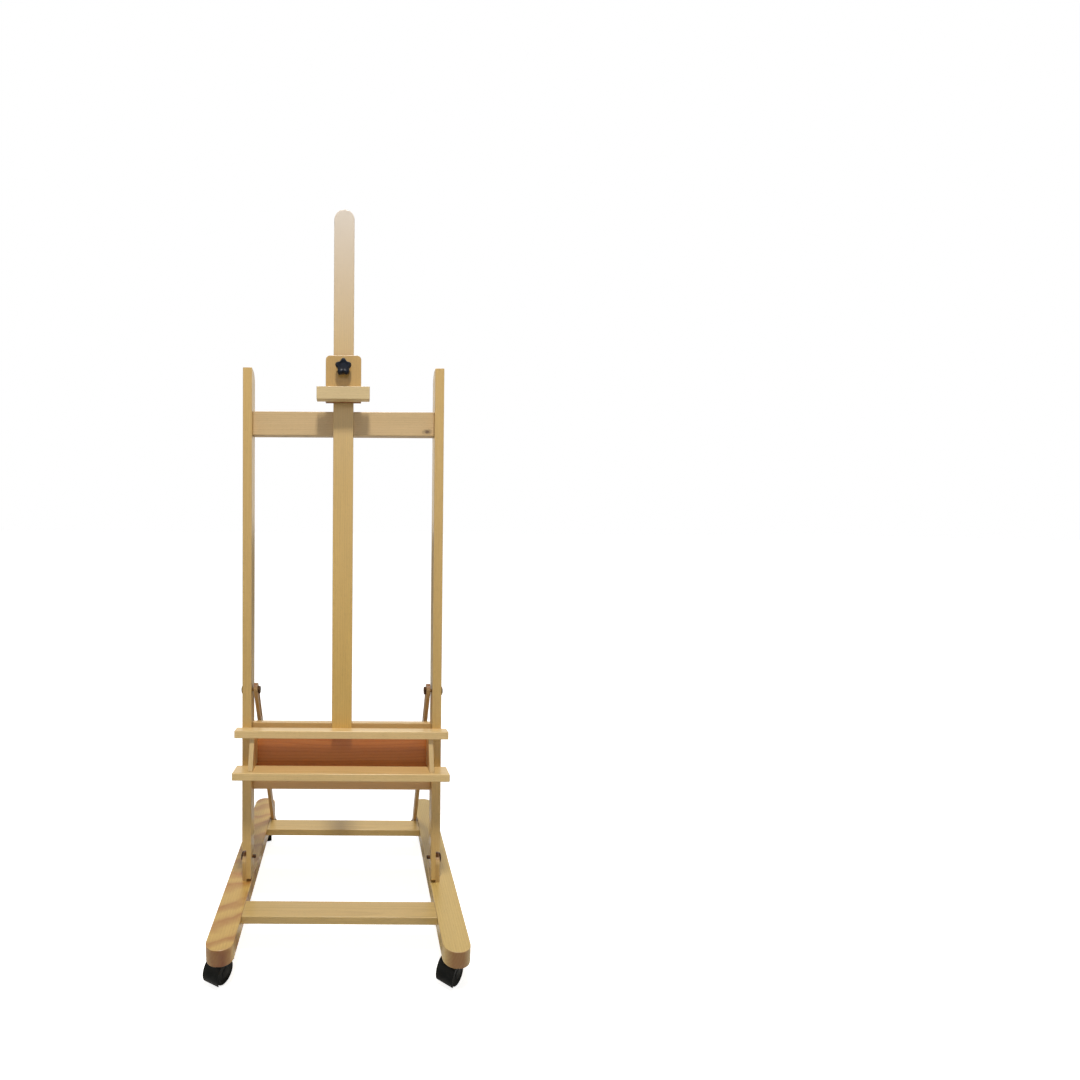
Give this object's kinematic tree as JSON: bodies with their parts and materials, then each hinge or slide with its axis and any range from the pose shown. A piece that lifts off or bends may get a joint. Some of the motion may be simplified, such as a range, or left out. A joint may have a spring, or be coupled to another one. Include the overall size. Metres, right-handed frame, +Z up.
{
  "type": "studio easel",
  "caption": "Wooden H-frame studio easel on a castor base: leaning posts with a two-ledge tray, slotted struts, sliding mast and a clamping canvas holder.",
  "frame": {"origin": "on the floor, under the middle of the base's outline", "axes": "+Z up; the easel faces -Y, its frame leans back towards +Y; +X is to the right of someone who stands in front and looks at it"},
  "size_m": [0.5412, 0.61, 1.6236],
  "materials": {
    "runner_wood": "oiled, figured grain",
    "base_wood": "oiled",
    "post_wood": "oiled",
    "tray_wood": "oiled",
    "panel_wood": "oiled",
    "mast_wood": "oiled",
    "holder_wood": "oiled",
    "strut_wood": "oiled",
    "castor_metal": "zinc plated",
    "fastener_metal": "antique zinc",
    "castor_plastic": "moulded nylon",
    "wheel_plastic": "moulded nylon",
    "knob_plastic": "moulded phenolic"
  },
  "bodies": {
    "base": {"runner_left": "runner_wood", "runner_right": "runner_wood", "stretcher_front": "base_wood", "stretcher_rear": "base_wood", "hinge_cheek_left": "base_wood", "hinge_cheek_right": "base_wood", "hinge_bolt_left": "fastener_metal", "hinge_bolt_right": "fastener_metal", "hinge_nut_left": "fastener_metal", "hinge_nut_right": "fastener_metal", "strut_foot_bolt_left": "fastener_metal", "strut_foot_bolt_right": "fastener_metal", "castor_front_left_stem": "castor_metal", "castor_front_right_stem": "castor_metal", "castor_rear_left_stem": "castor_metal", "castor_rear_right_stem": "castor_metal"},
    "frame": {"post_left": "post_wood", "post_right": "post_wood", "crossbar": "post_wood", "ledge_upper": "tray_wood", "ledge_lower": "tray_wood", "tray_panel": "panel_wood", "tray_side_left": "tray_wood", "tray_side_right": "tray_wood", "mast_clamp_bolt": "fastener_metal", "mast_clamp_washer": "fastener_metal", "strut_bolt_left": "fastener_metal", "strut_bolt_right": "fastener_metal"},
    "mast": {"mast": "mast_wood"},
    "mast_knob": {"mast_clamp_knob": "knob_plastic"},
    "holder": {"holder_plate": "holder_wood", "holder_ledge": "holder_wood", "holder_side_left": "holder_wood", "holder_side_right": "holder_wood", "holder_back": "holder_wood"},
    "holder_knob": {"holder_knob": "knob_plastic"},
    "strut_left": {"strut_left": "strut_wood"},
    "strut_right": {"strut_right": "strut_wood"},
    "thumb_nut_left": {"thumb_nut_left": "fastener_metal"},
    "thumb_nut_right": {"thumb_nut_right": "fastener_metal"},
    "castor_front_left": {"castor_front_left_hood": "castor_plastic", "castor_front_left_axle": "castor_metal"},
    "castor_front_left_wheel_left": {"castor_front_left_wheel_left": "wheel_plastic"},
    "castor_front_left_wheel_right": {"castor_front_left_wheel_right": "wheel_plastic"},
    "castor_front_right": {"castor_front_right_hood": "castor_plastic", "castor_front_right_axle": "castor_metal"},
    "castor_front_right_wheel_left": {"castor_front_right_wheel_left": "wheel_plastic"},
    "castor_front_right_wheel_right": {"castor_front_right_wheel_right": "wheel_plastic"},
    "castor_rear_left": {"castor_rear_left_hood": "castor_plastic", "castor_rear_left_axle": "castor_metal"},
    "castor_rear_left_wheel_left": {"castor_rear_left_wheel_left": "wheel_plastic"},
    "castor_rear_left_wheel_right": {"castor_rear_left_wheel_right": "wheel_plastic"},
    "castor_rear_right": {"castor_rear_right_hood": "castor_plastic", "castor_rear_right_axle": "castor_metal"},
    "castor_rear_right_wheel_left": {"castor_rear_right_wheel_left": "wheel_plastic"},
    "castor_rear_right_wheel_right": {"castor_rear_right_wheel_right": "wheel_plastic"}
  },
  "joints": [
    {"name": "frame_tilt", "type": "hinge", "parent": "base", "child": "frame", "pos_m": [0, -0.0715, 0.144], "axis": [-1, 0, 0], "range_deg": [0, 20]},
    {"name": "strut_left_pivot", "type": "hinge", "parent": "base", "child": "strut_left", "pos_m": [-0.2, 0.204, 0.076], "axis": [-1, 0, 0], "range_deg": [0, 13.5]},
    {"name": "strut_right_pivot", "type": "hinge", "parent": "base", "child": "strut_right", "pos_m": [0.2, 0.204, 0.076], "axis": [-1, 0, 0], "range_deg": [0, 13.5]},
    {"name": "mast_slide", "type": "slide", "parent": "frame", "child": "mast", "axis": [0, 0.1045, 0.9945], "range_m": [0, 0.45]},
    {"name": "holder_slide", "type": "slide", "parent": "mast", "child": "holder", "axis": [0, 0.1045, 0.9945], "range_m": [-0.008, 0.3]},
    {"name": "holder_knob_turn", "type": "hinge", "parent": "holder", "child": "holder_knob", "pos_m": [0, 0.01381, 1.26472], "axis": [0, 0.9945, -0.1045], "continuous": true},
    {"name": "mast_knob_turn", "type": "hinge", "parent": "frame", "child": "mast_knob", "pos_m": [0, 0.05043, 1.14524], "axis": [0, 0.9945, -0.1045], "continuous": true},
    {"name": "thumb_nut_left_turn", "type": "hinge", "parent": "frame", "child": "thumb_nut_left", "pos_m": [-0.193, -0.03047, 0.53435], "axis": [1, 0, 0], "continuous": true},
    {"name": "thumb_nut_right_turn", "type": "hinge", "parent": "frame", "child": "thumb_nut_right", "pos_m": [0.193, -0.03047, 0.53435], "axis": [1, 0, 0], "continuous": true},
    {"name": "castor_front_left_swivel", "type": "hinge", "parent": "base", "child": "castor_front_left", "pos_m": [-0.2355, -0.259, 0.055], "axis": [0, 0, 1], "continuous": true},
    {"name": "castor_front_left_wheel_left_spin", "type": "hinge", "parent": "castor_front_left", "child": "castor_front_left_wheel_left", "pos_m": [-0.24095, -0.26969, 0.024], "axis": [0.891, -0.454, 0], "continuous": true},
    {"name": "castor_front_left_wheel_right_spin", "type": "hinge", "parent": "castor_front_left", "child": "castor_front_left_wheel_right", "pos_m": [-0.24095, -0.26969, 0.024], "axis": [0.891, -0.454, 0], "continuous": true},
    {"name": "castor_front_right_swivel", "type": "hinge", "parent": "base", "child": "castor_front_right", "pos_m": [0.2355, -0.259, 0.055], "axis": [0, 0, 1], "continuous": true},
    {"name": "castor_front_right_wheel_left_spin", "type": "hinge", "parent": "castor_front_right", "child": "castor_front_right_wheel_left", "pos_m": [0.22795, -0.26833, 0.024], "axis": [0.7771, -0.6293, 0], "continuous": true},
    {"name": "castor_front_right_wheel_right_spin", "type": "hinge", "parent": "castor_front_right", "child": "castor_front_right_wheel_right", "pos_m": [0.22795, -0.26833, 0.024], "axis": [0.7771, -0.6293, 0], "continuous": true},
    {"name": "castor_rear_left_swivel", "type": "hinge", "parent": "base", "child": "castor_rear_left", "pos_m": [-0.2355, 0.243, 0.055], "axis": [0, 0, 1], "continuous": true},
    {"name": "castor_rear_left_wheel_left_spin", "type": "hinge", "parent": "castor_rear_left", "child": "castor_rear_left_wheel_left", "pos_m": [-0.2326, 0.23136, 0.024], "axis": [0.9703, 0.2419, 0], "continuous": true},
    {"name": "castor_rear_left_wheel_right_spin", "type": "hinge", "parent": "castor_rear_left", "child": "castor_rear_left_wheel_right", "pos_m": [-0.2326, 0.23136, 0.024], "axis": [0.9703, 0.2419, 0], "continuous": true},
    {"name": "castor_rear_right_swivel", "type": "hinge", "parent": "base", "child": "castor_rear_right", "pos_m": [0.2355, 0.243, 0.055], "axis": [0, 0, 1], "continuous": true},
    {"name": "castor_rear_right_wheel_left_spin", "type": "hinge", "parent": "castor_rear_right", "child": "castor_rear_right_wheel_left", "pos_m": [0.24095, 0.23231, 0.024], "axis": [0.891, 0.454, 0], "continuous": true},
    {"name": "castor_rear_right_wheel_right_spin", "type": "hinge", "parent": "castor_rear_right", "child": "castor_rear_right_wheel_right", "pos_m": [0.24095, 0.23231, 0.024], "axis": [0.891, 0.454, 0], "continuous": true}
  ],
  "couplings": [
    {"joint": "strut_left_pivot", "follows": "frame_tilt", "ratio": 0.6598},
    {"joint": "strut_right_pivot", "follows": "frame_tilt", "ratio": 0.6598}
  ]
}
